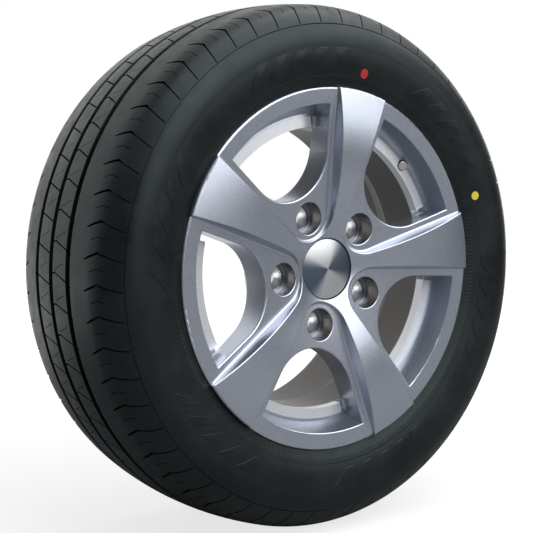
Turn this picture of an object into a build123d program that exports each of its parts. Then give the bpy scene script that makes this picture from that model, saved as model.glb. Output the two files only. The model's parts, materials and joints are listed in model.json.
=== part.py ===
"""Cast alloy wheel with a tubeless tyre, a clamp-in valve and a snap-in centre cap.

The wheel turns about Y. Its styled face looks towards -Y, and +Z is up.
Sections are drawn as (radius, y), and angles run from +X towards +Z.
"""
import os
from math import cos, radians, sin, tan

from build123d import *

# Rim: 13 inch bead seat, 6 inches between the flanges
bead_seat_radius = 164.7
rim_width = 152.4
flange_height = 14.0
flange_thickness = 10.3
flange_edge_width = 6.5
flange_straight = 7.3
rim_edge_radius = 2.0
bead_seat_width = 19.0
bead_seat_taper = 5.0
hump_height = 0.9
hump_width = 7.0
well_depth = 16.5
well_width = 34.0
well_wall_angle = 22.0
rear_ramp_length = 24.0
rear_ramp_rise = 12.3
rim_wall = 7.0
rear_lip_width = 18.5
rear_lip_depth = 9.0
lip_radius = 162.5

# Ledge behind the windows, broken at each spoke
ledge_y = -62.0
ledge_back_y = -53.0
ledge_outer_radius = 151.0
ledge_span = 41.0

# Spokes and windows
spoke_count = 5
first_spoke_angle = 8.0
face_hub_y = -71.8
face_middle_radius = 100.0
face_middle_y = -88.8
face_rim_y = -89.2
floor_hub_radius = 40.0
floor_hub_y = -71.0
spoke_root_half_width = -8.1
spoke_flare = 12.0
spoke_plane_y = -92.0
spoke_draft = 18.0
bay_apex_radius = 27.2
window_root_half_width = 6.0
window_flare = 10.8
window_apex_radius = 79.5
spoke_edge_radius = 1.0
spoke_end_radius = 2.5
bay_floor_radius = 2.0
window_edge_radius = 1.5

# Back of the spokes
disc_back_radius = 78.0
disc_back_y = -43.0
disc_barrel_y = -57.0
channel_inner_radius = 84.0
channel_outer_radius = 137.0
channel_floor_y = -70.5
channel_rib = 9.0
channel_corner = 8.0

# Hub
hub_offset = 30.0
hub_bore_radius = 33.3
hub_bore_depth = 24.0
hub_bore_chamfer = 1.5
hub_relief = 2.2
hub_pad_radius = 72.0
bolt_circle_radius = 56.0
bolt_hole_radius = 7.25
seat_mouth_radius = 11.5
seat_cone_half_angle = 30.0
lug_pocket_radius = 15.75
lug_pocket_depth = 24.0
lug_pocket_edge = 1.2
pad_pocket_circle = 52.0
pad_pocket_radius = 10.0
pad_pocket_depth = 14.0

# Centre cap
cap_radius = 30.7
cap_gap = 0.4
cap_recess_y = -67.0
cap_hole_radius = 28.3
cap_land_thickness = 8.0
cap_flange_thickness = 3.2
cap_face_radius = 29.6
cap_face_thickness = 1.2
cap_face_dome = 2.6
cap_inlay_depth = 1.0
cap_inlay_gap = 0.1
clip_count = 8
clip_gap = 0.3
clip_wall = 1.6
clip_span = 24.0
clip_hook = 1.0
clip_hook_length = 2.6
cap_spring_wire = 0.8
cap_spring_gap = 20.0

# Tyre
tread_radius = 264.5
crown_half_width = 58.7
crown_drop = 4.4
sidewall_radius = 217.0
sidewall_half_width = 93.2
shoulder_radius = 247.5
shoulder_half_width = 83.1
sidewall_tuck = 2.0
bead_edge_rise = 3.5
bead_edge_setback = 1.0
bead_gap = 0.3
bead_width = 18.5
bead_bury = 3.0
bead_toe_height = 4.0
crown_thickness = 15.0
sidewall_thickness = 8.5
groove_spacing = 31.2
groove_width = 7.4
groove_depth = 7.0
groove_side_angle = 6.0
slot_pitch_count = 58
slot_width = 2.6
slot_depth = 4.5
slot_start = 56.5
slot_peak = 72.3
slot_end = 88.5
slot_inner_slant = 21.0
slot_outer_slant = 20.0
slot_phase = 0.75

# Valve, measured along its own axis from its seat on the tyre side of the rim
valve_seat_rise = 7.5
valve_spot_radius = 7.7
valve_hole_radius = 5.0
valve_wall = 6.0
valve_counterbore_radius = 5.9
valve_fit = 0.09
stem_radius = 3.85
stem_length = 16.4
stem_head_radius = 7.0
stem_head_thickness = 2.5
core_bore_radius = 2.75
core_bore_depth = 7.5
core_seat_length = 1.5
stem_passage_radius = 2.1
grommet_radius = 7.2
grommet_thickness = 3.0
grommet_spigot = 4.5
valve_washer_radius = 5.6
valve_washer_thickness = 1.0
valve_nut_flats = 9.0
valve_nut_thickness = 3.5
valve_cap_wall = 0.9
valve_cap_skirt_gap = 0.4
valve_cap_end = 1.2
valve_cap_rounding = 0.8
valve_cap_flutes = 12
valve_cap_flute_radius = 0.5
cap_gasket_thickness = 1.0
cap_gasket_hole = 1.5

# Valve core, measured down from the mouth of the stem
core_fit = 0.08
core_pin_radius = 0.55
core_pin_recess = 0.4
core_pin_collar_radius = 1.0
core_pin_collar = 0.5
core_pin_head_radius = 0.9
core_pin_head = 0.7
core_plug_recess = 1.2
core_plug_thickness = 3.7
core_barrel_radius = 1.7
core_barrel_length = 12.0
core_collar_radius = 2.4
core_gasket_gap = 0.05
core_chamber_top = 4.0
core_chamber_radius = 1.25
core_end_wall = 1.0
core_cup_thickness = 1.1
core_spring_wire = 0.15
core_spring_turns = 5

# Values that follow from the ones above
spoke_pitch = 360 / spoke_count
half_pitch = spoke_pitch / 2
flange_radius = bead_seat_radius + flange_height
rim_half = rim_width / 2
rim_front_y = -(rim_half + flange_thickness)
floor_slope = (rim_front_y - floor_hub_y) / (flange_radius - floor_hub_radius)
hump_foot_radius = bead_seat_radius - bead_seat_width * tan(radians(bead_seat_taper))
hump_start = rim_half - bead_seat_width
hump_end = hump_start - hump_width
well_radius = bead_seat_radius - well_depth
well_wall_length = (hump_foot_radius - well_radius) * tan(radians(well_wall_angle))
well_front_y = -hump_end + well_wall_length
well_rear_y = well_front_y + well_width
barrel_radius = well_radius - rim_wall
pad_y = -hub_offset
bolt_seat_y = pad_y - lug_pocket_depth
cap_front_y = cap_recess_y - cap_flange_thickness
cap_land_y = cap_recess_y + cap_land_thickness
bead_edge_radius = flange_radius + bead_edge_rise
bead_edge_y = -rim_front_y - bead_edge_setback
nut_start = valve_wall + valve_washer_thickness
cap_skirt = nut_start + valve_nut_thickness + valve_cap_skirt_gap
core_plug_top = stem_length - core_plug_recess
core_plug_end = core_plug_top - core_plug_thickness
core_seat_top = stem_length - core_bore_depth


def turned(section):
    """Sweep a (radius, y) section round the wheel's axis."""
    return revolve(section, Axis.Y)


def spun(points):
    """Turn an outline of (radius, height) points about Z."""
    return revolve(Plane.XZ * make_face(Polyline(*points, close=True)), Axis.Z)


def turn(angle):
    """Rotation about the wheel's axis, from +X towards +Z."""
    return Rot(0, -angle, 0)


def bay_angles():
    """Mid angles of the gaps between the spokes."""
    return [first_spoke_angle + half_pitch + k * spoke_pitch for k in range(spoke_count)]


def spoke_angles():
    return [first_spoke_angle + k * spoke_pitch for k in range(spoke_count)]


def bay_outline(root_half_width, flare, apex_radius, reach):
    """Gap between two spokes about +X: two flaring sides joined by a round hub end.

    A spoke is root_half_width + radius * tan(flare) wide on each side of its own line.
    """
    side = radians(half_pitch - flare)
    pitch = radians(half_pitch)
    along = root_half_width * cos(pitch) / (sin(pitch) - tan(radians(flare)) * cos(pitch))
    crossing = along * cos(pitch) + (root_half_width + along * tan(radians(flare))) * sin(pitch)
    centre = (apex_radius - crossing * sin(side)) / (1 - sin(side))
    radius = centre - apex_radius
    near = Vector(centre - radius * sin(side), radius * cos(side))
    far = Vector(reach, near.Y + (reach - near.X) * tan(side))
    sides = [
        Line(far, near),
        ThreePointArc(near, (apex_radius, 0), (near.X, -near.Y)),
        Line((near.X, -near.Y), (far.X, -far.Y)),
        Line((far.X, -far.Y), far),
    ]
    return make_face(sides)


def rim_section():
    """Flanges, bead seats with humps, drop centre and the barrel's inner wall."""
    straight_radius = bead_seat_radius + flange_straight
    edge_y = rim_half + flange_thickness - flange_edge_width
    ramp_radius = well_radius + rear_ramp_rise
    ramp_y = well_rear_y + rear_ramp_length
    front_seat = [
        (lip_radius, floor_y(lip_radius), 1.2),
        (flange_radius, rim_front_y, rim_edge_radius),
        (flange_radius, -edge_y, 2.0),
        (straight_radius, -rim_half, 5.0),
        (bead_seat_radius, -rim_half, 4.0),
        (hump_foot_radius, -hump_start, 0),
        (hump_foot_radius + hump_height, -(hump_start + hump_end) / 2, 2.5),
        (hump_foot_radius, -hump_end, 2.0),
    ]
    middle = [(well_radius, well_front_y, 6.0), (well_radius, well_rear_y, 6.0), (ramp_radius, ramp_y, 10.0)]
    rear_seat = [
        (hump_foot_radius, hump_end, 0),
        (hump_foot_radius + hump_height, (hump_start + hump_end) / 2, 2.5),
        (hump_foot_radius, hump_start, 0),
        (bead_seat_radius, rim_half, 4.0),
        (straight_radius, rim_half, 5.0),
        (flange_radius, edge_y, 2.0),
        (flange_radius, -rim_front_y, 2.0),
        (flange_radius - rear_lip_width, -rim_front_y, 2.0),
    ]
    inside = [
        (hump_foot_radius - rim_wall, -rim_front_y - rear_lip_depth, 4.0),
        (ramp_radius - rim_wall, ramp_y + rim_wall / 3, 10.0),
        (barrel_radius, well_rear_y + rim_wall / 2, 8.0),
        (barrel_radius, ledge_back_y, 1.0),
        (ledge_outer_radius, ledge_back_y, 2.0),
    ]
    corners = front_seat + middle + rear_seat + inside
    path = FilletPolyline(
        *[(radius, y) for radius, y, _ in corners],
        radius=[rounding for _, _, rounding in corners],
        close=True,
    )
    return make_face(path)


def ledge_arc():
    """Front step of the drop centre, centred on +X, that stops short of the spokes."""
    buried = lip_radius - ledge_outer_radius
    section = make_face(Polyline(
        (barrel_radius, ledge_y),
        (ledge_outer_radius + buried / 2, ledge_y),
        (ledge_outer_radius + buried / 2, ledge_back_y + rim_wall / 2),
        (barrel_radius, ledge_back_y + rim_wall / 2),
        close=True,
    ))
    return turn(-ledge_span / 2) * revolve(section, Axis.Y, -ledge_span)


def floor_y(radius):
    """Level of the webs between the spokes, one cone from the hub to the rim's edge."""
    return floor_hub_y + (radius - floor_hub_radius) * floor_slope


def disc_section():
    """Hub, webs and the full spoke face as one turned shape."""
    recess_radius = cap_radius + cap_gap
    bore_end_y = pad_y - hub_bore_depth
    rim_back_y = rim_front_y + flange_edge_width / 2
    back = Polyline(
        (recess_radius, face_hub_y),
        (recess_radius, cap_recess_y),
        (cap_hole_radius, cap_recess_y),
        (cap_hole_radius, cap_land_y),
        (hub_bore_radius + hub_relief, cap_land_y),
        (hub_bore_radius + hub_relief, bore_end_y),
        (hub_bore_radius, bore_end_y),
        (hub_bore_radius, pad_y - hub_bore_chamfer),
        (hub_bore_radius + hub_bore_chamfer, pad_y),
        (hub_pad_radius, pad_y),
        (disc_back_radius, disc_back_y),
        (barrel_radius, disc_barrel_y),
        (ledge_outer_radius + rim_wall / 2, disc_barrel_y),
        (lip_radius + rim_wall / 2, rim_back_y),
        (flange_radius, rim_back_y),
        (flange_radius, face_rim_y),
    )
    face = ThreePointArc(
        (flange_radius, face_rim_y), (face_middle_radius, face_middle_y), (recess_radius, face_hub_y)
    )
    section = make_face(back.edges() + [face])
    corner = section.vertices().sort_by(Axis.X)[-2:].sort_by(Axis.Y)[0]
    return fillet(corner, spoke_end_radius)


def bay_cut():
    """Drafted hollow between two spokes: down to the web with a rounded foot, and past the rim's edge."""
    above = Plane.XZ.offset(-spoke_plane_y)
    outline = bay_outline(spoke_root_half_width, spoke_flare, bay_apex_radius, flange_radius + rim_wall)
    depth = abs(spoke_plane_y - floor_y(cap_radius)) + 1
    straight = extrude(above * outline, -depth)
    walls = [face for face in straight.faces() if abs(face.normal_at().Y) < 0.1]
    walls = [face for face in walls if face.center().X < flange_radius]
    hollow = draft(walls, above, -spoke_draft)
    reach = flange_radius + 4 * rim_wall
    web = turned(make_face(Polyline(
        (0, floor_y(0)), (reach, floor_y(reach)), (reach, 0), (0, 0), close=True
    )))
    tool = hollow - web
    foot = tool.faces().filter_by(GeomType.CONE).sort_by(SortBy.AREA)[-1]
    inner = [edge for edge in foot.edges() if edge.position_at(0.5).X < flange_radius]
    outside = hollow - along_y(flange_radius - 1.5 * rim_edge_radius, spoke_plane_y, 0)
    return [fillet(inner, bay_floor_radius), outside]


def window_cut():
    """Opening between two spokes, out to the rim's inner wall."""
    outline = bay_outline(window_root_half_width, window_flare, window_apex_radius, flange_radius)
    through = extrude(Plane.XZ * outline, abs(spoke_plane_y) + rim_wall)
    return through & Rot(90, 0, 0) * Cylinder(lip_radius + 0.5, 4 * rim_half)


def channel_cut():
    """Hollow in the back of one spoke, about +X."""
    def half(radius):
        return window_root_half_width + radius * tan(radians(window_flare)) - channel_rib

    inner, outer = half(channel_inner_radius), half(channel_outer_radius)
    outline = make_face(FilletPolyline(
        (channel_inner_radius, -inner),
        (channel_outer_radius, -outer),
        (channel_outer_radius, outer),
        (channel_inner_radius, inner),
        radius=channel_corner,
        close=True,
    ))
    return extrude(Plane.XZ.offset(-channel_floor_y) * outline, channel_floor_y)


def along_y(radius, start, end):
    """Round bar on the wheel's axis between two levels."""
    return Plane((0, start, 0), z_dir=(0, 1, 0)) * extrude(Circle(radius), end - start)


def lug_cut():
    """Pocket, conical seat and bolt hole on the axis."""
    cone_depth = (seat_mouth_radius - bolt_hole_radius) / tan(radians(seat_cone_half_angle))
    front = spoke_plane_y
    return revolve(make_face(Polyline(
        (0, front),
        (lug_pocket_radius, front),
        (lug_pocket_radius, bolt_seat_y),
        (seat_mouth_radius, bolt_seat_y),
        (bolt_hole_radius, bolt_seat_y + cone_depth),
        (bolt_hole_radius, 0),
        (0, 0),
        close=True,
    )), Axis.Y)


def valve_place():
    """Frame of the valve: origin on the tyre side of the rim wall, Z out towards the cap."""
    angle = bay_angles()[0]
    tilt = radians(well_wall_angle)
    radius = well_radius + valve_seat_rise
    y = well_front_y - valve_seat_rise * tan(tilt)
    outward = (-sin(tilt), -cos(tilt), 0)
    return turn(angle) * Plane((radius, y, 0), x_dir=(0, 0, 1), z_dir=outward).location


def on_face(edge):
    """True for the edges where the spoke face turns down into a bay."""
    middle = edge.position_at(0.5)
    radius = (middle.X**2 + middle.Z**2) ** 0.5
    return middle.Y < floor_y(radius) - 1 and cap_radius + 1 < radius < flange_radius - 0.1


def on_web(edge):
    """True for the edges where a web turns down into a window."""
    middle = edge.position_at(0.5)
    radius = (middle.X**2 + middle.Z**2) ** 0.5
    return abs(middle.Y - floor_y(radius)) < 0.2 and window_apex_radius - 1 < radius < lip_radius - 1


def on_pocket_mouth(edge):
    """True for the edges where a web turns down into a lug pocket."""
    middle = edge.position_at(0.5)
    radius = (middle.X**2 + middle.Z**2) ** 0.5
    if abs(middle.Y - floor_y(radius)) > 0.2 or edge.geom_type == GeomType.CIRCLE:
        return False
    centres = [turn(angle) * Pos(bolt_circle_radius, middle.Y, 0) for angle in bay_angles()]
    return any(abs((middle - place.position).length - lug_pocket_radius) < 0.1 for place in centres)


def disc():
    """Hub with its spokes, before it is joined to the rim."""
    shape = turned(disc_section())
    for angle in bay_angles():
        shape = shape - [turn(angle) * cut for cut in bay_cut()]
    shape = fillet(shape.edges().filter_by(on_face), spoke_edge_radius)
    shape = shape - [turn(angle) * window_cut() for angle in bay_angles()]
    return fillet(shape.edges().filter_by(on_web), window_edge_radius)


def valve_cuts():
    """Hole, spot face and counterbore for the valve, along Z."""
    far = 3 * valve_wall
    hole = Pos(0, 0, valve_wall / 2) * Cylinder(valve_hole_radius, valve_wall + 1)
    spot = Pos(0, 0, -far / 2) * Cylinder(valve_spot_radius, far)
    counterbore = Pos(0, 0, valve_wall + far / 2) * Cylinder(valve_counterbore_radius, far)
    return [valve_place() * cut for cut in (hole, spot, counterbore)]


def wheel():
    casting = turned(rim_section()) + disc() + [turn(angle) * ledge_arc() for angle in bay_angles()]
    lugs = [turn(angle) * Pos(bolt_circle_radius, 0, 0) * lug_cut() for angle in bay_angles()]
    channels = [turn(angle) * channel_cut() for angle in spoke_angles()]
    pad_pocket = Pos(pad_pocket_circle, 0, 0) * along_y(pad_pocket_radius, pad_y - pad_pocket_depth, 0)
    pad_pockets = [turn(angle) * pad_pocket for angle in spoke_angles()]
    casting = casting - lugs - channels - pad_pockets - valve_cuts()
    return fillet(casting.edges().filter_by(on_pocket_mouth), lug_pocket_edge)


def tyre_outside():
    """Tread, shoulders and sidewalls as one open chain of arcs."""
    crown_edge = tread_radius - crown_drop
    middle = (sidewall_radius + bead_edge_radius) / 2
    bulge = sidewall_half_width - sidewall_tuck
    chain = [ThreePointArc((crown_edge, -crown_half_width), (tread_radius, 0), (crown_edge, crown_half_width))]
    for side in (-1, 1):
        widest = (sidewall_radius, side * sidewall_half_width)
        chain.append(ThreePointArc(
            (crown_edge, side * crown_half_width), (shoulder_radius, side * shoulder_half_width), widest
        ))
        chain.append(ThreePointArc(widest, (middle, side * bulge), (bead_edge_radius, side * bead_edge_y)))
    return chain


def tyre_section():
    """Hollow section whose beads follow the rim at a small gap."""
    buried = bead_seat_radius - bead_bury
    toe_y = rim_half - bead_width
    half = [
        (bead_edge_radius, bead_edge_y, 0),
        (flange_radius - bead_bury, bead_edge_y, 0),
        (buried, rim_half, 0),
        (buried, toe_y, 0),
        (bead_seat_radius + bead_toe_height, toe_y, 3.0),
        (flange_radius, rim_half - bead_width / 3, 20.0),
        (sidewall_radius, sidewall_half_width - sidewall_thickness, 24.0),
        (tread_radius - crown_thickness, crown_half_width, 24.0),
    ]
    chain = half + [(radius, -y, rounding) for radius, y, rounding in reversed(half)]
    inside = FilletPolyline(
        *[(radius, y) for radius, y, _ in chain], radius=[rounding for _, _, rounding in chain[1:-1]]
    )
    section = make_face(tyre_outside() + list(inside.edges()))
    section = section - offset(rim_section(), bead_gap)
    foot = groove_width / 2 - groove_depth * tan(radians(groove_side_angle))
    groove = make_face(Polyline(
        (tread_radius - groove_depth, -foot),
        (tread_radius - groove_depth, foot),
        (tread_radius + groove_depth, groove_width),
        (tread_radius + groove_depth, -groove_width),
        close=True,
    ))
    return section - [Pos(0, k * groove_spacing) * groove for k in (-1, 0, 1)]


def shoulder_slot():
    """One V-shaped slot of even depth over the front shoulder, with its peak on +X."""
    closing = Line((bead_edge_radius, -bead_edge_y), (bead_edge_radius, bead_edge_y))
    solid = make_face(tyre_outside() + [closing])
    skin = offset(solid, slot_depth) - offset(solid, -slot_depth)
    arms = []
    for start, end, slant in ((slot_start, slot_peak, slot_inner_slant), (slot_peak, slot_end, -slot_outer_slant)):
        strip = skin & Pos(tread_radius, -(start + end) / 2) * Rectangle(crown_half_width, end - start)
        blade = Pos(0, slot_peak, 0) * extrude(strip, slot_width / 2, both=True)
        arms.append(Pos(0, -slot_peak, 0) * Rot(slant, 0, 0) * blade)
    return arms[0] + arms[1]


def tyre():
    """Front half with its slots, joined to the same half turned end for end."""
    front = Pos(tread_radius, -sidewall_half_width) * Rectangle(tread_radius, 2 * sidewall_half_width)
    half = turned(tyre_section() & front)
    angles = [slot_phase + k * 360 / slot_pitch_count for k in range(slot_pitch_count)]
    slot = shoulder_slot()
    half = half - [turn(angle) * slot for angle in angles]
    return half + Rot(180, 0, 0) * half


def centre_cap():
    """Clip body: a round plate with spring fingers that hook behind the hub's land."""
    inlay_y = cap_front_y + cap_inlay_depth
    plate = turned(make_face(Polyline(
        (0, cap_recess_y),
        (cap_radius, cap_recess_y),
        (cap_radius, cap_front_y),
        (cap_face_radius + cap_inlay_gap, cap_front_y),
        (cap_face_radius + cap_inlay_gap, inlay_y),
        (0, inlay_y),
        close=True,
    )))
    outer = cap_hole_radius - clip_gap
    land_y = cap_land_y + clip_gap
    tip_y = land_y + clip_hook_length
    section = make_face(Polyline(
        (outer, cap_recess_y),
        (outer, land_y),
        (outer + clip_hook, land_y + clip_hook / 2),
        (outer, tip_y),
        (outer - clip_wall - clip_hook, tip_y),
        (outer - clip_wall - clip_hook, tip_y - clip_hook),
        (outer - clip_wall, tip_y - clip_hook),
        (outer - clip_wall, cap_recess_y),
        close=True,
    ))
    finger = turn(-clip_span / 2) * revolve(section, Axis.Y, -clip_span)
    return plate + [turn(k * 360 / clip_count) * finger for k in range(clip_count)]


def centre_cap_face():
    """Bright domed disc set into the clip body."""
    back_y = cap_front_y + cap_inlay_depth
    edge_y = back_y - cap_face_thickness
    ball = (cap_face_radius**2 + cap_face_dome**2) / (2 * cap_face_dome)
    blank = along_y(cap_face_radius, edge_y - cap_face_dome, back_y)
    return blank & Pos(0, edge_y - cap_face_dome + ball, 0) * Sphere(ball)


def centre_cap_spring():
    """Split wire ring inside the clip fingers."""
    ring_radius = cap_hole_radius - clip_gap - clip_wall - cap_spring_wire - valve_fit
    section = Pos(ring_radius, cap_land_y) * Circle(cap_spring_wire)
    return turn(cap_spring_gap) * revolve(section, Axis.Y, 360 - cap_spring_gap)


def ring(inner, outer, start, end):
    """Plain ring along the valve's axis."""
    return spun([(inner, start), (outer, start), (outer, end), (inner, end)])


def valve_stem():
    head = -(grommet_thickness + stem_head_thickness)
    seat = stem_length - core_bore_depth
    return spun([
        (stem_passage_radius, head),
        (stem_head_radius, head),
        (stem_head_radius, -grommet_thickness),
        (stem_radius, -grommet_thickness),
        (stem_radius, stem_length),
        (core_bore_radius, stem_length),
        (core_bore_radius, seat),
        (stem_passage_radius, seat - core_seat_length),
    ])


def valve_grommet():
    inner = stem_radius + valve_fit
    spigot = valve_hole_radius - valve_fit
    return spun([
        (inner, -grommet_thickness),
        (grommet_radius, -grommet_thickness),
        (grommet_radius, 0),
        (spigot, 0),
        (spigot, grommet_spigot),
        (inner, grommet_spigot),
    ])


def valve_nut():
    hexagon = RegularPolygon(valve_nut_flats / 2, 6, major_radius=False) - Circle(stem_radius + valve_fit)
    return Pos(0, 0, nut_start) * extrude(hexagon, valve_nut_thickness)


def valve_cap():
    """Screw cap with grip flutes."""
    inner = stem_radius + valve_fit
    outer = inner + valve_cap_wall
    roof = stem_length + cap_gasket_thickness
    outline = FilletPolyline(
        (0, roof),
        (inner, roof),
        (inner, cap_skirt),
        (outer, cap_skirt),
        (outer, roof + valve_cap_end),
        (0, roof + valve_cap_end),
        radius=[0, 0, 0, 0, valve_cap_rounding, 0],
        close=True,
    )
    shell = revolve(Plane.XZ * make_face(outline), Axis.Z)
    flute = Pos(outer + valve_cap_flute_radius / 2, 0, 0) * Cylinder(valve_cap_flute_radius, 2 * roof)
    return shell - [Rot(0, 0, k * 360 / valve_cap_flutes) * flute for k in range(valve_cap_flutes)]


def valve_core_plug():
    """Threaded plug with a narrow key on top."""
    body = ring(core_pin_radius + core_fit, core_bore_radius - core_fit, core_plug_end, core_plug_top)
    key_depth = core_plug_thickness / 2
    side = Box(core_bore_radius, 4 * core_bore_radius, key_depth)
    place = core_bore_radius / 2 + core_barrel_radius / 2
    return body - [Pos(sign * place, 0, core_plug_top - key_depth / 2) * side for sign in (-1, 1)]


def valve_core_barrel():
    """Tube with the spring chamber, hung from a collar above the gasket."""
    guide = core_pin_radius + core_fit
    end = core_plug_end - core_barrel_length
    return spun([
        (guide, core_plug_end),
        (core_collar_radius, core_plug_end),
        (core_collar_radius, core_seat_top),
        (core_barrel_radius, core_seat_top),
        (core_barrel_radius, end),
        (guide, end),
        (guide, end + core_end_wall),
        (core_chamber_radius, end + core_end_wall),
        (core_chamber_radius, core_plug_end - core_chamber_top),
        (guide, core_plug_end - core_chamber_top),
    ])


def valve_core_gasket():
    inner = core_barrel_radius + core_gasket_gap
    return spun([
        (inner, core_seat_top),
        (core_bore_radius - core_gasket_gap, core_seat_top),
        (stem_passage_radius - core_gasket_gap, core_seat_top - core_seat_length),
        (inner, core_seat_top - core_seat_length),
    ])


def valve_core_pin():
    """Pin with the collar that the spring lifts and the head that carries the cup."""
    collar_top = core_plug_end - core_chamber_top - core_fit
    cup_end = core_plug_end - core_barrel_length - core_cup_thickness
    return spun([
        (0, stem_length - core_pin_recess),
        (core_pin_radius, stem_length - core_pin_recess),
        (core_pin_radius, collar_top),
        (core_pin_collar_radius, collar_top),
        (core_pin_collar_radius, collar_top - core_pin_collar),
        (core_pin_radius, collar_top - core_pin_collar),
        (core_pin_radius, cup_end),
        (core_pin_head_radius, cup_end),
        (core_pin_head_radius, cup_end - core_pin_head),
        (0, cup_end - core_pin_head),
    ])


def valve_core_cup():
    top = core_plug_end - core_barrel_length
    return ring(core_pin_radius + core_gasket_gap, core_barrel_radius, top - core_cup_thickness, top)


def valve_core_spring():
    """Open coil between the chamber's floor and the pin's collar."""
    bottom = core_plug_end - core_barrel_length + core_end_wall + core_spring_wire
    top = core_plug_end - core_chamber_top - core_fit - core_pin_collar - core_spring_wire
    coil = (core_pin_radius + core_chamber_radius) / 2
    path = Pos(0, 0, bottom) * Helix((top - bottom) / core_spring_turns, top - bottom, coil)
    return sweep(Plane(path @ 0, z_dir=path % 0) * Circle(core_spring_wire), path)


def save(node, shape):
    export_step(shape, f"parts/{node}.step")


def main():
    os.makedirs("parts", exist_ok=True)
    save("wheel", wheel())
    save("tyre", tyre())
    save("centre_cap", centre_cap())
    save("centre_cap_face", centre_cap_face())
    save("centre_cap_spring", centre_cap_spring())
    stem_bore = stem_radius + valve_fit
    valve_pieces = {
        "valve_stem": valve_stem(),
        "valve_grommet": valve_grommet(),
        "valve_washer": ring(stem_bore, valve_washer_radius, valve_wall, nut_start),
        "valve_nut": valve_nut(),
        "valve_cap": valve_cap(),
        "valve_cap_gasket": ring(cap_gasket_hole, stem_radius, stem_length, stem_length + cap_gasket_thickness),
        "valve_core_plug": valve_core_plug(),
        "valve_core_gasket": valve_core_gasket(),
        "valve_core_barrel": valve_core_barrel(),
        "valve_core_pin": valve_core_pin(),
        "valve_core_cup": valve_core_cup(),
        "valve_core_spring": valve_core_spring(),
    }
    for node, shape in valve_pieces.items():
        save(node, valve_place() * shape)


main()
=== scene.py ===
"""Looks of the wheel and tyre assembly: paint, rubber tread, bright cap, studio light and camera."""

import json
from math import cos, degrees, hypot, pi, radians, sin, sqrt

import bpy
import numpy as np
from mathutils import Matrix, Vector

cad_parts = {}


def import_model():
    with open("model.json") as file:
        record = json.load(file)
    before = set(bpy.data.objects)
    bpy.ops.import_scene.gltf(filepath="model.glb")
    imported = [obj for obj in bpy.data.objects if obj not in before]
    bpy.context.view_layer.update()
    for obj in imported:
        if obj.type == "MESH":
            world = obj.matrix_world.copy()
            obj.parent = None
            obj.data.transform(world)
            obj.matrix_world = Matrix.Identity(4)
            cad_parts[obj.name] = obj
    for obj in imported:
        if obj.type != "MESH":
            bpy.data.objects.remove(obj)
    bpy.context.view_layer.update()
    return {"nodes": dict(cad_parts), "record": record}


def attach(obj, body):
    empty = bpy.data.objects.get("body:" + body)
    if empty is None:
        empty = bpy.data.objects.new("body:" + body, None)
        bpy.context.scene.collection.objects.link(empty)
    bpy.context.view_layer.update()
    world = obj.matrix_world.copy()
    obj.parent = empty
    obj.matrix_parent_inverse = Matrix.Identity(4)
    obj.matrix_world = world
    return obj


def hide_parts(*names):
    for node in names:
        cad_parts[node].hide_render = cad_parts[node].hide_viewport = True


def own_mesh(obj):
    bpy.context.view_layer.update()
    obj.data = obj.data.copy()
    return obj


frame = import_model()
nodes = frame["nodes"]
BODY = "wheel_body"

# Tyre, in millimetres as in the construction; pairs are (y, r)
TREAD_R = 264.5
CROWN_HALF = 58.7
CROWN_DROP = 4.4
SHOULDER = (83.1, 247.5)
SIDE_HALF = 93.2
SIDE_R = 217.0
SIDE_TOP_R = 238.0
SIDE_SAG = 2.0
BEAD_EDGE = (85.5, 182.2)

# Tread pattern, in millimetres and degrees
PITCHES = 58
PITCH = 360 / PITCHES
FIRST_PITCH = 0.75
GROOVES = (-31.2, 0.0, 31.2)
GROOVE_HALF = 3.7
GROOVE_DEPTH = 7.0
GROOVE_SLOPE = 0.9
GROOVE_LIP = 0.02
RIBS_HALF = 35.0
RIB_CUT_HALF = 0.75
RIB_CUT_DEPTH = 4.0
CUT_SLOPE = 0.25
LEAST_FOOT = 0.05
SIPE_HALF = 0.35
SIPE_DEPTH = 2.2
RIB_SIPE_HALF = 0.3
RIB_SIPE_DEPTH = 2.0
RIB_SIPE_START = 4.0
RIB_ROWS_START = 6.0
LINE_DEPTH = 0.9

# Rows of points across one shoulder, close together where a cut starts, turns or ends
SHOULDER_ROWS = (
    36.0, 40.0, 45.0, 50.0, 54.0, 56.1, 56.3, 56.7, 56.9, 58.7, 61.0, 63.7, 63.9, 64.3, 66.5, 68.5, 70.5,
    71.3, 72.3, 73.3, 75.0, 77.1, 77.3, 77.9, 79.5, 81.2, 82.8, 84.2, 85.4, 86.4, 87.3, 87.9, 88.1, 88.5,
    88.8, 89.05, 89.2, 89.35, 89.5, 89.65, 89.8, 90.3,
)

# Sidewall, in millimetres: hoops as (r, half width, rise), then the hidden bead and lining as (r, y)
HOOPS = ((231.5, 0.7, -0.4), (191.0, 0.8, 0.5), (187.4, 0.8, 0.5))
TREAD_UNDERSIDE = (236.0, 89.0)
BEAD = ((179.05, 84.4), (179.05, 80.2), (172.2, 75.85), (165.1, 75.85), (163.5, 57.75), (168.6, 57.75))
LINING = ((178.7, 70.0), (198.0, 79.5), (217.0, 84.5), (236.0, 78.0), (247.0, 62.0), (249.5, 45.0))
SIDE_COLUMNS = 360

# Bars on the sidewall in place of lettering: degrees round the axis, and millimetres
BAR_GROUPS = 6
BARS_IN_GROUP = 5
BAR_STEP = 360 / 54
FIRST_BAR = 32.0
BAR_HALF = 1.45
BAR_LEAN = -0.276
BAR_BAND = (198.7, 215.3)
BAR_EDGE = 0.6
BAR_RISE = 0.5
BAR_SINK = 0.1
BAR_ROOT = 0.6
BAR_WIDEST = 93.36

# Paint marks: name, distance from the axis in millimetres, degrees and colour
MARKS = (
    ("red_mark", 195.0, 81.0, (0.5, 0.022, 0.015)),
    ("yellow_mark", 201.0, 21.0, (0.8, 0.62, 0.04)),
)
MARK_RADIUS = 4.6
MARK_HEIGHT = 0.12

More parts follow.
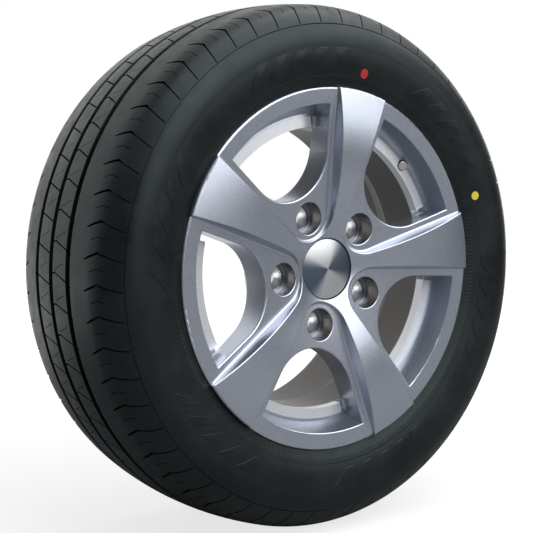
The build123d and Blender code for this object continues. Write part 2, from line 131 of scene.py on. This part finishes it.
# Bolt holes: degrees, and metres from the axis
FIRST_BOLT = 44.0
BOLT_STEP = 72.0
BOLT_CIRCLE = 0.056

# Zones of the wheel's paint, in metres; each pair says where a zone begins to show and where it is full
BARREL_Y = (-0.0525, -0.0515)
BARREL_R = (0.118, 0.122)
# Lug pocket walls, which carry painted shade
POCKET_Y = (-0.0546, -0.055)
POCKET_R = (0.0164, 0.0159)
SEAT_Y = (-0.0545, -0.0541)
SEAT_R = (0.0119, 0.0115)
# Ledge inside the rim, which carries a painted highlight
LEDGE_FRONT = (-0.0622, -0.0619)
LEDGE_BACK = (-0.0528, -0.0531)
LEDGE_INNER = (0.1396, 0.14)
LEDGE_OUTER = (0.1515, 0.1512)

# Ring of fine serrations on the sidewall, in metres
SERRATIONS = 300.0
SERRATED_INNER = (0.1845, 0.1848)
SERRATED_OUTER = (0.1893, 0.189)
FLANK = (0.083, 0.085)

# Colours
LACQUER = ((0.485, 0.52, 0.595, 1), (0.545, 0.58, 0.655, 1))
# Bare casting in the barrel, made darker as painted shade inside the barrel
BARE_CASTING_AND_SHADE = (0.13, 0.121, 0.111, 1)
# Painted shade on the lug pocket walls
POCKET_SHADE = (0.24, 0.225, 0.22, 1)
# Bright machined metal on the bolt seats, and a painted highlight on the ledge
MACHINED_AND_HIGHLIGHT = (0.86, 0.87, 0.88, 1)
RUBBER = ((0.004, 0.0046, 0.005, 1), (0.008, 0.0098, 0.0105, 1))
RUBBER_GLINT = (0.84, 1.0, 1.0, 1)
# Painted reflection: a fan of dark and light round the cap's axis
CAP_REFLECTION_FAN = ((0.08, 0.115, 0.17, 1), (0.72, 0.73, 0.74, 1))
CAP_RINGS = (0.5, 0.52, 0.55, 1)
WHITE = (1, 1, 1, 1)
LOW_TONE = (0.05, 0.052, 0.056, 1)
CEILING_TONE = (0.4, 0.42, 0.46, 1)
FLOOR_GREY = (0.28, 0.28, 0.28, 1)

# Simple finishes: colour, metallic, roughness and scale of the grain
SIMPLE_FINISHES = {
    "nickel_brass": ((0.72, 0.7, 0.66), 1.0, 0.22, 3000.0),
    "bare_brass": ((0.78, 0.6, 0.3), 1.0, 0.28, 3000.0),
    "black_plastic": ((0.035, 0.035, 0.038), 0.0, 0.45, 1500.0),
    "spring_steel": ((0.55, 0.55, 0.56), 1.0, 0.3, 3000.0),
    "seal_rubber": ((0.02, 0.02, 0.02), 0.0, 0.6, 1800.0),
}

# Floor: half its side and its gap under the tyre in metres, and its glow near the tyre and farther off
FLOOR_HALF = 6.0
FLOOR_GAP = 0.0002
FLOOR_GLOW_NEAR = 0.76
FLOOR_GLOW_GAIN = 0.24
FLOOR_GLOW_REACH = (0.3, 1.2)

# Lamps: name, place and size in metres, power in watts
LAMPS = (
    ("top", (0.45, -0.7, 1.5), (2.8, 2.0), 40),
    ("front", (0.72, -2.1, 0.8), (2.6, 1.2), 20),
)

# Camera as found from the photo: degrees, metres, and pixels of the 533 x 533 picture
AZIMUTH = -36.91
ELEVATION = 4.1
ROLL = 0.19
DISTANCE = 1.195
FOCAL = 1144.0
MIDDLE_X = 284.08
MIDDLE_Y = 264.56
PICTURE = 533.0
SENSOR = 36.0


# Materials

class Nodes:
    """Small helper that adds nodes to one material or world and wires them."""

    def __init__(self, owner):
        owner.use_nodes = True
        self.owner = owner
        self.tree = owner.node_tree
        self.tree.nodes.clear()

    def add(self, kind, inputs=None, **settings):
        node = self.tree.nodes.new("ShaderNode" + kind)
        for key, value in settings.items():
            setattr(node, key, value)
        for key, value in (inputs or {}).items():
            self.put(node, key, value)
        return node

    def put(self, node, key, value):
        socket = node.inputs[key]
        if isinstance(value, bpy.types.NodeSocket):
            self.tree.links.new(value, socket)
        else:
            socket.default_value = value

    def math(self, operation, *values):
        return self.add("Math", dict(enumerate(values)), operation=operation).outputs[0]

    def times(self, a, b):
        return self.math("MULTIPLY", a, b)

    def plus(self, a, b):
        return self.math("ADD", a, b)

    def length(self, a, b):
        """Length of the flat vector (a, b)."""
        return self.math("SQRT", self.plus(self.times(a, a), self.times(b, b)))

    def ramp(self, value, start, end):
        """0 up to start, 1 from end on, smooth between; it falls with the value where end is the smaller."""
        inputs = {"Value": value, "From Min": start, "From Max": end}
        return self.add("MapRange", inputs, interpolation_type="SMOOTHSTEP").outputs[0]

    def mix(self, factor, a, b):
        return self.add("Mix", {0: factor, 6: a, 7: b}, data_type="RGBA").outputs[2]

    def place(self, kind="Object"):
        """x, y and z of the shaded point, or of the direction looked in."""
        return self.add("SeparateXYZ", {"Vector": self.add("TexCoord").outputs[kind]}).outputs

    def polar(self):
        """Radius from the wheel's axis, y and angle of the shaded point."""
        x, y, z = self.place()
        return self.length(x, z), y, self.math("ARCTAN2", z, x)

    def noise(self, scale, detail=3.0, rough=0.55):
        place = self.add("TexCoord").outputs["Object"]
        inputs = {"Vector": place, "Scale": scale, "Detail": detail, "Roughness": rough}
        return self.add("TexNoise", inputs).outputs["Fac"]

    def bump(self, height, strength, distance, normal=None):
        inputs = {"Height": height, "Strength": strength, "Distance": distance}
        if normal is not None:
            inputs["Normal"] = normal
        return self.add("Bump", inputs).outputs[0]

    def seen_white(self, behind):
        """1 for what the camera sees, and as much as behind says for what metal and glass mirror."""
        path = self.add("LightPath").outputs
        bent = self.math("MAXIMUM", path["Is Glossy Ray"], path["Is Transmission Ray"])
        return self.math("MAXIMUM", path["Is Camera Ray"], self.times(bent, behind))

    def finish(self, shader, output="OutputMaterial"):
        self.add(output, {0: shader.outputs[0]})
        return self.owner

    def principled(self, **inputs):
        names = {key.replace("_", " "): value for key, value in inputs.items()}
        return self.finish(self.add("BsdfPrincipled", names))


def new_material(name):
    return Nodes(bpy.data.materials.new(name))


def bolt_distance(s, radius, angle):
    """Distance of the shaded point from the nearest bolt hole's axis."""
    half_step = radians(BOLT_STEP / 2)
    folded = s.math("WRAP", s.math("SUBTRACT", angle, radians(FIRST_BOLT)), half_step, -half_step)
    across = s.times(radius, s.math("SINE", folded))
    along = s.math("SUBTRACT", s.times(radius, s.math("COSINE", folded)), BOLT_CIRCLE)
    return s.length(across, along)


def silver_paint():
    """Metallic lacquer; bare casting made darker with painted shade in the barrel, painted shade in the lug
    pockets, bright machined bolt seats and a painted highlight on the ledge.
    """
    s = new_material("silver_paint")
    radius, y, angle = s.polar()
    off_bolt = bolt_distance(s, radius, angle)
    flakes = s.noise(scale=2600.0, detail=2.0)
    cloud = s.noise(scale=18.0, detail=2.0)
    barrel = s.times(s.ramp(y, *BARREL_Y), s.ramp(radius, *BARREL_R))
    pocket = s.times(s.ramp(off_bolt, *POCKET_R), s.ramp(y, *POCKET_Y))
    seat = s.times(s.ramp(off_bolt, *SEAT_R), s.ramp(y, *SEAT_Y))
    # Painted highlight on the ledge inside the rim
    ledge_r = s.times(s.ramp(radius, *LEDGE_INNER), s.ramp(radius, *LEDGE_OUTER))
    ledge_y = s.times(s.ramp(y, *LEDGE_FRONT), s.ramp(y, *LEDGE_BACK))
    ledge_highlight = s.times(ledge_r, ledge_y)
    colour = s.mix(cloud, *LACQUER)
    # Barrel: bare casting, made darker as painted shade
    colour = s.mix(barrel, colour, BARE_CASTING_AND_SHADE)
    # Painted shade on the lug pocket walls
    colour = s.mix(pocket, colour, POCKET_SHADE)
    # Machined bolt seats, and a painted highlight on the ledge
    colour = s.mix(s.math("MAXIMUM", seat, ledge_highlight), colour, MACHINED_AND_HIGHLIGHT)
    return s.principled(
        Base_Color=colour,
        Roughness=s.plus(s.times(flakes, 0.1), s.plus(s.times(barrel, 0.25), 0.23)),
        Metallic=s.math("SUBTRACT", 0.95, s.times(s.math("MAXIMUM", barrel, ledge_highlight), 0.6)),
        Normal=s.bump(flakes, strength=0.15, distance=0.0002), Coat_Weight=0.2, Coat_Roughness=0.1,
    )


def tyre_rubber():
    """Matt black rubber with a dusty bloom and a ring of fine moulded serrations on the sidewalls."""
    s = new_material("tyre_rubber")
    radius, y, angle = s.polar()
    grain = s.noise(scale=900.0, detail=4.0)
    smear = s.noise(scale=14.0, detail=4.0)
    patches = s.noise(scale=70.0, detail=5.0, rough=0.65)
    strokes = s.ramp(s.math("SINE", s.times(angle, SERRATIONS)), -0.2, 0.2)
    band = s.times(s.ramp(radius, *SERRATED_INNER), s.ramp(radius, *SERRATED_OUTER))
    flank = s.ramp(s.math("ABSOLUTE", y), *FLANK)
    serration = s.times(s.times(strokes, band), flank)
    grained = s.bump(grain, strength=0.2, distance=0.0003)
    return s.principled(
        Base_Color=s.mix(s.ramp(smear, 0.35, 0.7), *RUBBER),
        Roughness=s.plus(s.times(smear, 0.2), s.math("MULTIPLY_ADD", patches, 0.4, 0.08)),
        Specular_IOR_Level=0.36, Specular_Tint=RUBBER_GLINT,
        Normal=s.bump(serration, strength=0.6, distance=0.0003, normal=grained),
    )


def spun_aluminium():
    """Turned disc: fine rings, and a painted reflection, a fan of light and dark round the axis."""
    s = new_material("spun_aluminium")
    radius, _, angle = s.polar()
    turned = {"W": s.times(radius, 2600.0), "Scale": 1.0, "Detail": 3.0, "Roughness": 0.6}
    rings = s.add("TexNoise", turned, noise_dimensions="1D").outputs["Fac"]
    # Painted reflection: light and dark by angle round the axis
    fan = s.math("SINE", s.plus(s.times(angle, 2.0), radians(-130)))
    painted_reflection = s.mix(s.ramp(fan, -0.75, 0.5), *CAP_REFLECTION_FAN)
    colour = s.mix(s.times(rings, 0.25), painted_reflection, CAP_RINGS)
    return s.principled(Base_Color=colour, Metallic=1.0, Roughness=0.34)


def plain(name, colour, metallic, roughness, scale):
    """Simple finish with a fine grain."""
    s = new_material(name)
    grain = s.noise(scale)
    darker = tuple(0.86 * c for c in colour) + (1,)
    return s.principled(
        Base_Color=s.mix(grain, darker, tuple(colour) + (1,)), Metallic=metallic,
        Roughness=s.plus(s.times(grain, 0.1), roughness),
        Normal=s.bump(grain, strength=0.15, distance=0.0001),
    )


rubber = tyre_rubber()
finishes = {"silver_paint": silver_paint(), "tyre_rubber": rubber, "spun_aluminium": spun_aluminium()}
for finish, settings in SIMPLE_FINISHES.items():
    finishes[finish] = plain(finish, *settings)
for part in frame["record"]["subparts"]:
    node = nodes[part["node"]]
    node.data.materials.clear()
    node.data.materials.append(finishes[part["material_slot"]])


# Tyre

def circle_through(p, q, s):
    """Centre and radius of the circle through three points."""
    p, q, s = np.array(p), np.array(q), np.array(s)
    centre = np.linalg.solve(2 * np.array([q - p, s - p]), np.array([q @ q - p @ p, s @ s - p @ p]))
    return centre, hypot(*(p - centre))


CROWN_RADIUS = (CROWN_HALF**2 + CROWN_DROP**2) / (2 * CROWN_DROP)
CORNER, CORNER_RADIUS = circle_through((CROWN_HALF, TREAD_R - CROWN_DROP), SHOULDER, (SIDE_HALF, SIDE_R))


def skin(y):
    """Radius and outward normal (y, r) of the tyre's outside at a y on the tread or shoulder."""
    if abs(y) <= CROWN_HALF:
        up = sqrt(CROWN_RADIUS**2 - y * y)
        return TREAD_R - CROWN_RADIUS + up, (y / CROWN_RADIUS, up / CROWN_RADIUS)
    side = -1 if y < 0 else 1
    across = abs(y) - CORNER[0]
    up = sqrt(max(CORNER_RADIUS**2 - across**2, 0.0))
    return CORNER[1] + up, (side * across / CORNER_RADIUS, up / CORNER_RADIUS)


def mesh_object(name, points, faces, material, smooth_to):
    """Object from points in millimetres, smooth over edges up to an angle in degrees."""
    mesh = bpy.data.meshes.new(name)
    mesh.from_pydata((np.asarray(points) / 1000).tolist(), [], faces)
    mesh.materials.append(material)
    mesh.validate()
    mesh.polygons.foreach_set("use_smooth", [True] * len(mesh.polygons))
    mesh.set_sharp_from_angle(angle=radians(smooth_to))
    obj = bpy.data.objects.new(name, mesh)
    bpy.context.scene.collection.objects.link(obj)
    return obj


def flipped(faces):
    """The same faces, looking the other way."""
    return [face[::-1] for face in faces]


def grid_faces(rows, columns):
    """Quads of a grid that closes round in its columns."""
    faces = []
    for i in range(rows - 1):
        for j in range(columns):
            k = (j + 1) % columns
            faces.append((i * columns + j, i * columns + k, (i + 1) * columns + k, (i + 1) * columns + j))
    return faces


def level(y, *pairs):
    """Straight-line steps through (y, value) pairs."""
    return float(np.interp(y, [p[0] for p in pairs], [p[1] for p in pairs]))


def far_phase(y):
    """Degrees by which the far shoulder's pattern lags, as it is the near one turned over."""
    return level(y, (36, 0.0), (54, 2 * FIRST_PITCH))


def past_groove(y):
    """Distance of y outside the nearest groove's edge, negative inside it."""
    return min(abs(y - g) for g in GROOVES) - GROOVE_HALF


def cut_shift(y):
    """Degrees by which the main cut runs ahead at y: chevrons on the shoulders, slants on the ribs."""
    if y > RIBS_HALF:
        return -cut_shift(-y) - far_phase(y)
    return level(
        y, (-91, 1.8), (-88.5, 1.6), (-72.3, 0.0), (-56.5, 1.35), (-36, 1.0), (-29, 0.1), (-4.2, -1.95),
        (-3.5, -1.2), (3.0, 0.9), (27, -0.75), (35, -1.0),
    )


def cut_shape(y):
    """Half width and depth of the main cut at y."""
    a = abs(y)
    if a > RIBS_HALF:
        half = level(a, (56.3, 0.5), (59, 0.95), (72.3, 1.25), (75, 0.8), (88.5, 0.55))
        depth = level(a, (56.2, 0.0), (56.8, 4.6), (72.3, 4.6), (88.0, 1.8), (88.6, 0.0))
        return half, depth
    return RIB_CUT_HALF, RIB_CUT_DEPTH if past_groove(y) > 0 else 0.0


def sipe_shift(y):
    """Degrees by which the sipe runs ahead at y."""
    if y > RIBS_HALF:
        return -sipe_shift(-y) - far_phase(y)
    return level(
        y, (-91, 1.6), (-77.3, 0.4), (-71.3, 0.0), (-64.3, 0.6), (-36, 0.6), (-29, -0.9), (-4, 1.2),
        (3, -0.9), (27, 1.2), (35, 0.9),
    )


def sipe_shape(y):
    """Half width and depth of the sipe at y."""
    a = abs(y)
    if a > RIBS_HALF:
        return SIPE_HALF, level(a, (63.8, 0.0), (64.2, SIPE_DEPTH), (77.2, SIPE_DEPTH), (77.8, 0.0))
    return RIB_SIPE_HALF, RIB_SIPE_DEPTH if past_groove(y) > RIB_SIPE_START else 0.0


def ring_depth(y):
    """Depth at y of what runs all the way round: the grooves and the line at the edge of each shoulder."""
    groove = GROOVE_DEPTH * min(1.0, max(0.0, -past_groove(y)) / GROOVE_SLOPE)
    line = level(abs(y), (89.05, 0.0), (89.2, LINE_DEPTH), (89.5, LINE_DEPTH), (89.65, 0.0))
    return max(groove, line)


def tread_rows():
    """All y at which the tread has a row of points."""
    ys = [-v for v in SHOULDER_ROWS] + list(SHOULDER_ROWS)
    for g in GROOVES:
        for offset in (0.0, GROOVE_HALF - GROOVE_SLOPE, GROOVE_HALF, GROOVE_HALF + GROOVE_LIP):
            ys += [g - offset, g + offset]
    for left, right in zip(GROOVES[:-1], GROOVES[1:]):
        low, high = left + GROOVE_HALF, right - GROOVE_HALF
        for step in (RIB_SIPE_START - 0.1, RIB_SIPE_START + 0.1):
            ys += [low + step, high - step]
        ys += list(np.linspace(low + RIB_ROWS_START, high - RIB_ROWS_START, 5))
    return sorted(set(round(float(v), 3) for v in ys))


def land(start, end):
    """Three even points on the rubber between two cuts."""
    return [(start + (end - start) * k / 4, 0) for k in (1, 2, 3)]


def pitch_row(y, radius):
    """One pitch of the row at y as (degrees, depth): the main cut, land, the sipe and land again."""
    half, depth = cut_shape(y)
    thin, thin_depth = sipe_shape(y)
    to_deg = degrees(1 / radius)
    main, mid = cut_shift(y), PITCH / 2 + sipe_shift(y)
    wide, foot, narrow = half * to_deg, max(half - CUT_SLOPE, LEAST_FOOT) * to_deg, thin * to_deg
    cut = [(main - wide, 0), (main - foot, depth), (main + foot, depth), (main + wide, 0)]
    sipe = [(mid - narrow, 0), (mid, thin_depth), (mid + narrow, 0)]
    return cut + land(main + wide, mid - narrow) + sipe + land(mid + narrow, main - wide + PITCH)


def tread():
    """Tread band from shoulder line to shoulder line, with its grooves, chevrons, cuts and sipes."""
    ys = tread_rows()
    points = []
    for y in ys:
        radius, normal = skin(y)
        ring = ring_depth(y)
        row = pitch_row(y, radius)
        for k in range(PITCHES):
            for angle, cut in row:
                deep = max(cut, ring)
                r = radius - deep * normal[1]
                turn = radians(FIRST_PITCH + k * PITCH + angle)
                points.append((r * cos(turn), y - deep * normal[0], r * sin(turn)))
    faces = flipped(grid_faces(len(ys), len(row) * PITCHES))
    return mesh_object("tyre_tread", points, faces, rubber, smooth_to=28)


def sidewall_profile():
    """Outside of the +Y sidewall from the shoulder line to the bead edge, as (r, y)."""
    rows = []
    for r in np.linspace(SIDE_TOP_R, SIDE_R, 12):
        rows.append((r, CORNER[0] + sqrt(CORNER_RADIUS**2 - (r - CORNER[1]) ** 2)))
    halfway = (SIDE_HALF - SIDE_SAG, (SIDE_R + BEAD_EDGE[1]) / 2)
    centre, bend = circle_through((SIDE_HALF, SIDE_R), halfway, BEAD_EDGE)
    for r in np.linspace(SIDE_R, BEAD_EDGE[1], 26)[1:]:
        rows.append((r, centre[0] + sqrt(bend**2 - (r - centre[1]) ** 2)))
    return rows


def hoop_relief(r):
    """Raised and sunk hoops on the sidewall, in millimetres out of the surface."""
    return sum(rise * max(0.0, 1 - (abs(r - middle) / half) ** 2) for middle, half, rise in HOOPS)


def sidewalls():
    """Both sidewalls with the hidden beads and lining, as one ring that is open under the tread."""
    outer = [(r, y + hoop_relief(r)) for r, y in sidewall_profile()]
    half = [TREAD_UNDERSIDE, *outer, *BEAD, *LINING]
    profile = [(r, -y) for r, y in half] + half[::-1]
    turns = np.radians(np.arange(SIDE_COLUMNS) * 360 / SIDE_COLUMNS)
    points = [(r * cos(t), y, r * sin(t)) for r, y in profile for t in turns]
    return mesh_object("tyre_sides", points, grid_faces(len(profile), SIDE_COLUMNS), rubber, smooth_to=40)


def side_at(r):
    """How far the sidewall's outside is from the middle plane at r."""
    rows = sidewall_profile()[::-1]
    return float(np.interp(r, [p[0] for p in rows], [p[1] for p in rows])) + hoop_relief(r)


def slab_faces(rows, columns, first):
    """Quads of a closed slab: an upper grid of points, then a lower one with the same layout."""
    def at(layer, i, j):
        return first + (layer * rows + i) * columns + j

    faces = []
    for i in range(rows - 1):
        for j in range(columns - 1):
            faces.append((at(0, i, j), at(0, i, j + 1), at(0, i + 1, j + 1), at(0, i + 1, j)))
            faces.append((at(1, i, j), at(1, i + 1, j), at(1, i + 1, j + 1), at(1, i, j + 1)))
    edge = [(0, j) for j in range(columns - 1)]
    edge += [(i, columns - 1) for i in range(rows - 1)]
    edge += [(rows - 1, j) for j in range(columns - 1, 0, -1)]
    edge += [(i, 0) for i in range(rows - 1, 0, -1)]
    for a, b in zip(edge, edge[1:] + edge[:1]):
        faces.append((at(0, *b), at(0, *a), at(1, *a), at(1, *b)))
    return faces


def bar_points(side, middle):
    """Points of one bar, an upper grid that slopes into the sidewall and a lower one, and the grids' size."""
    low, high = BAR_BAND
    radii = [low - BAR_EDGE, *np.linspace(low, high, 9), high + BAR_EDGE]
    edge = degrees(BAR_EDGE / low)
    widths = [-BAR_HALF - edge, -BAR_HALF, 0.0, BAR_HALF, BAR_HALF + edge]
    upper, lower = [], []
    for i, r in enumerate(radii):
        wall = side_at(r)
        for j, width in enumerate(widths):
            turn = radians(middle + width + BAR_LEAN * (r - (low + high) / 2))
            x, z = r * cos(turn), r * sin(turn)
            on_top = 0 < i < len(radii) - 1 and 0 < j < len(widths) - 1
            top = min(wall + BAR_RISE, BAR_WIDEST) if on_top else wall - BAR_SINK
            upper.append((x, side * top, z))
            lower.append((x, side * (wall - BAR_ROOT), z))
    return upper + lower, len(radii), len(widths)


def side_bars():
    """Plain slanted bars in groups, standing a little out of both sidewalls."""
    points, faces = [], []
    for side in (-1, 1):
        for bar in range(BAR_GROUPS * BARS_IN_GROUP):
            group, place = divmod(bar, BARS_IN_GROUP)
            middle = FIRST_BAR + group * 360 / BAR_GROUPS + place * BAR_STEP
            slab, rows, columns = bar_points(side, middle)
            sheet = slab_faces(rows, columns, len(points))
            points += slab
            faces += sheet if side > 0 else flipped(sheet)
    return mesh_object("tyre_bars", points, faces, rubber, smooth_to=25)


def paint_mark(name, radius, angle, colour):
    """Small round paint mark on the front sidewall."""
    rings, spokes = 4, 32
    points = []
    for i in range(1, rings + 1):
        for j in range(spokes):
            across, turn = MARK_RADIUS * i / rings, 2 * pi * j / spokes
            r = radius + across * sin(turn)
            a = radians(angle) + across * cos(turn) / radius
            points.append((r * cos(a), -(side_at(r) + MARK_HEIGHT), r * sin(a)))
    faces = grid_faces(rings, spokes) + [tuple(reversed(range(spokes)))]
    paint = plain(name, colour, metallic=0.0, roughness=0.5, scale=700.0)
    return mesh_object(name, points, faces, paint, smooth_to=60)


tread_band = tread()
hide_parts("tyre")
for piece in (tread_band, sidewalls(), side_bars()):
    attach(piece, BODY)
for mark in MARKS:
    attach(paint_mark(*mark), BODY)


# Valve

def valve_coil():
    """Copy of the valve core's spring, carried by the wheel body in place of the part; the real spring
    shortens towards its fixed end as the pin is pressed.
    """
    spring = nodes["valve_core_spring"]
    coil = spring.copy()
    coil.data = spring.data.copy()
    coil.name = "valve_coil"
    bpy.context.scene.collection.objects.link(coil)
    coil.parent = None
    coil.matrix_world = spring.matrix_world
    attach(coil, BODY)
    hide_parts("valve_core_spring")
    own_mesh(coil)


valve_coil()


# Studio

def floor():
    """Pale floor that the camera sees as white, apart from the shadow near the tyre."""
    s = new_material("floor")
    x, y, _ = s.place()
    seen = s.seen_white(s.ramp(y, 0.2, 1.0))
    far = s.ramp(s.length(x, y), *FLOOR_GLOW_REACH)
    glow = s.times(seen, s.plus(s.times(far, FLOOR_GLOW_GAIN), FLOOR_GLOW_NEAR))
    white = s.add("Emission", {"Color": WHITE, "Strength": glow})
    matt = s.add("BsdfDiffuse", {"Color": FLOOR_GREY})
    s.finish(s.add("AddShader", {0: white.outputs[0], 1: matt.outputs[0]}))
    z = -TREAD_R / 1000 - FLOOR_GAP
    corners = [(i * FLOOR_HALF, j * FLOOR_HALF, z) for i, j in ((-1, -1), (1, -1), (1, 1), (-1, 1))]
    mesh = bpy.data.meshes.new("floor")
    mesh.from_pydata(corners, [], [(0, 1, 2, 3)])
    mesh.materials.append(s.owner)
    obj = bpy.data.objects.new("floor", mesh)
    bpy.context.scene.collection.objects.link(obj)


def area_light(name, place, size, power):
    """Rectangular lamp that faces the wheel's middle."""
    lamp = bpy.data.lights.new(name, "AREA")
    lamp.shape = "RECTANGLE"
    lamp.size, lamp.size_y = size
    lamp.energy = power
    obj = bpy.data.objects.new(name, lamp)
    bpy.context.scene.collection.objects.link(obj)
    obj.location = place
    obj.rotation_euler = (-Vector(place)).to_track_quat("-Z", "Y").to_euler()


def world():
    """White to the camera and behind the wheel, a dim studio with a pale ceiling elsewhere."""
    s = Nodes(bpy.data.worlds.new("studio"))
    _, y, z = s.place("Generated")
    white, low, ceiling = (
        s.add("Background", {"Color": tone, "Strength": 1.0}).outputs[0]
        for tone in (WHITE, LOW_TONE, CEILING_TONE)
    )
    studio = s.add("MixShader", {0: s.ramp(z, -0.1, 0.75), 1: low, 2: ceiling}).outputs[0]
    seen = s.seen_white(s.ramp(y, 0.0, 0.4))
    bpy.context.scene.world = s.finish(s.add("MixShader", {0: seen, 1: studio, 2: white}), "OutputWorld")


def camera():
    """Camera at the photo's angle, distance and picture centre."""
    azimuth, elevation, roll = radians(AZIMUTH), radians(ELEVATION), radians(ROLL)
    back = Vector((sin(azimuth) * cos(elevation), -cos(azimuth) * cos(elevation), sin(elevation)))
    right = Vector((cos(azimuth), sin(azimuth), 0))
    up = back.cross(right)
    x = right * cos(roll) + up * sin(roll)
    y = up * cos(roll) - right * sin(roll)
    lens = bpy.data.cameras.new("camera")
    lens.sensor_width = SENSOR
    lens.lens = FOCAL * SENSOR / PICTURE
    lens.shift_x = (PICTURE / 2 - MIDDLE_X) / PICTURE
    lens.shift_y = (MIDDLE_Y - PICTURE / 2) / PICTURE
    obj = bpy.data.objects.new("camera", lens)
    bpy.context.scene.collection.objects.link(obj)
    turn = Matrix((x, y, back)).transposed().to_4x4()
    obj.matrix_world = Matrix.Translation(back * DISTANCE) @ turn
    bpy.context.scene.camera = obj


floor()
world()
camera()
for lamp in LAMPS:
    area_light(*lamp)
bpy.context.scene.view_settings.view_transform = "Standard"
